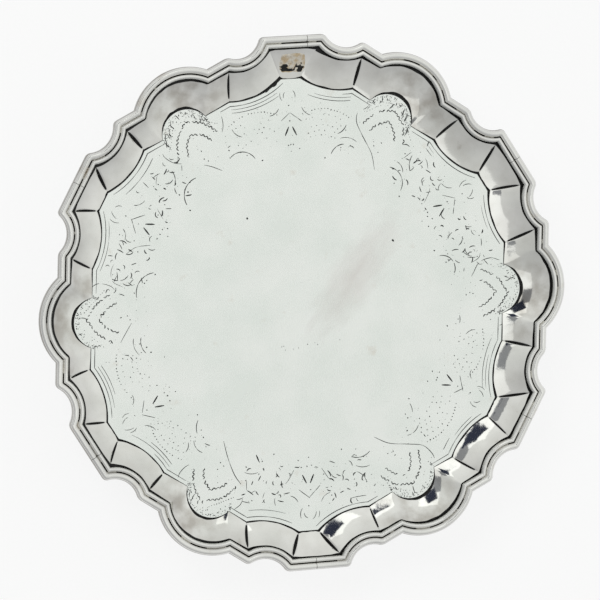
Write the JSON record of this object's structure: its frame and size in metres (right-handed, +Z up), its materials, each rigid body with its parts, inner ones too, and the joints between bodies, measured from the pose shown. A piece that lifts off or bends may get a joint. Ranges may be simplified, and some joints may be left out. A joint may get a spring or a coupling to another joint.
{
  "type": "silver salver",
  "caption": "Small lobed silver salver with a cast moulded rim, a concave border, an engraved flat plate and cast hoof feet.",
  "frame": {"origin": "on the standing surface, under the centre of the plate", "axes": "+Z up, +X through the middle of one lobe, +Y through the middle of the tablet over the first foot"},
  "size_m": [0.163, 0.16, 0.0223],
  "materials": {
    "silver_sheet": "old polish with fine scratches",
    "cast_silver": "cast, filed and polished",
    "silver_solder": "dressed back, tarnished",
    "repair_metal": "dull, oxidised"
  },
  "bodies": {
    "root": {"plate": "silver_sheet", "rim_section_1": "cast_silver", "rim_section_2": "cast_silver", "rim_section_3": "cast_silver", "rim_section_4": "cast_silver", "rim_section_5": "cast_silver", "rim_section_6": "cast_silver", "hoof_foot_1": "cast_silver", "hoof_foot_2": "cast_silver", "hoof_foot_3": "cast_silver", "seam_solder": "silver_solder", "foot_solder": "silver_solder", "repair_patch": "repair_metal"}
  },
  "joints": []
}
